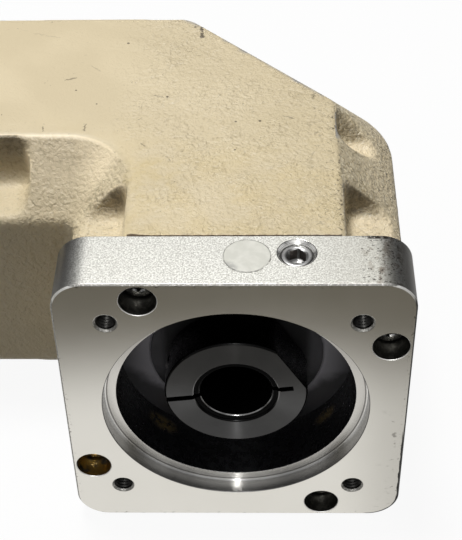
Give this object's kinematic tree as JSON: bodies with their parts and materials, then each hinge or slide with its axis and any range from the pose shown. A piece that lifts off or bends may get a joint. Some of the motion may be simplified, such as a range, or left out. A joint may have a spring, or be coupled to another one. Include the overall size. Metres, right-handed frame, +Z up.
{
  "type": "right angle gearbox",
  "caption": "Right angle bevel gearbox: painted elbow casting, square motor adapter plate with a clamp collar for the motor shaft, and a flanged output cover with a plain shaft.",
  "frame": {"origin": "centre of the motor pilot on the adapter plate's motor face", "axes": "+Y into the gearbox along the input shaft, +X away from the output end along the output shaft, +Z up, square to both shafts"},
  "size_m": [0.175, 0.1392, 0.0902],
  "materials": {
    "painted_casting": "matte",
    "machined_aluminium": "satin",
    "black_steel": "satin",
    "ground_steel": "satin",
    "bearing_steel": "polished",
    "pressed_cage": "satin",
    "nut_steel": "satin",
    "zinc_steel": "satin",
    "copper_washer": "satin",
    "seal_rubber": "matte",
    "white_sticker": "matte"
  },
  "bodies": {
    "housing": {"gear_housing": "painted_casting", "motor_adapter_plate": "machined_aluminium", "adapter_screws": "black_steel", "access_plug": "black_steel", "marker_sticker": "white_sticker", "input_seal": "seal_rubber", "input_circlip": "nut_steel", "input_front_cup": "bearing_steel", "input_rear_cup": "bearing_steel", "output_cover": "machined_aluminium", "output_cover_screws": "black_steel", "output_cover_o_ring": "seal_rubber", "output_seal": "seal_rubber", "output_inner_cup": "bearing_steel", "output_outer_cup": "bearing_steel", "output_shim": "ground_steel", "oil_plug": "zinc_steel", "oil_plug_washer": "copper_washer"},
    "input_train": {"pinion_shaft": "ground_steel", "clamp_collar": "black_steel", "clamp_screw": "black_steel", "input_front_cone": "bearing_steel", "input_rear_cone": "bearing_steel", "input_lock_nut": "nut_steel"},
    "input_rollers": {"input_front_rollers": "bearing_steel", "input_rear_rollers": "bearing_steel", "input_front_cage": "pressed_cage", "input_rear_cage": "pressed_cage"},
    "output_train": {"output_shaft": "ground_steel", "bevel_gear": "ground_steel", "gear_key": "ground_steel", "output_inner_cone": "bearing_steel", "output_outer_cone": "bearing_steel", "bearing_spacer": "ground_steel", "gear_lock_nut": "nut_steel"},
    "output_rollers": {"output_inner_rollers": "bearing_steel", "output_outer_rollers": "bearing_steel", "output_inner_cage": "pressed_cage", "output_outer_cage": "pressed_cage"}
  },
  "joints": [
    {"name": "output_spin", "type": "hinge", "parent": "housing", "child": "output_train", "pos_m": [0, 0.089, 0], "axis": [1, 0, 0], "continuous": true},
    {"name": "input_spin", "type": "hinge", "parent": "housing", "child": "input_train", "pos_m": [0, 0, 0], "axis": [0, 1, 0], "continuous": true},
    {"name": "input_roller_spin", "type": "hinge", "parent": "housing", "child": "input_rollers", "pos_m": [0, 0, 0], "axis": [0, 1, 0], "continuous": true},
    {"name": "output_roller_spin", "type": "hinge", "parent": "housing", "child": "output_rollers", "pos_m": [0, 0.089, 0], "axis": [1, 0, 0], "continuous": true}
  ],
  "couplings": [
    {"joint": "input_spin", "follows": "output_spin", "ratio": -2},
    {"joint": "input_roller_spin", "follows": "output_spin", "ratio": -0.89838},
    {"joint": "output_roller_spin", "follows": "output_spin", "ratio": 0.43546}
  ]
}
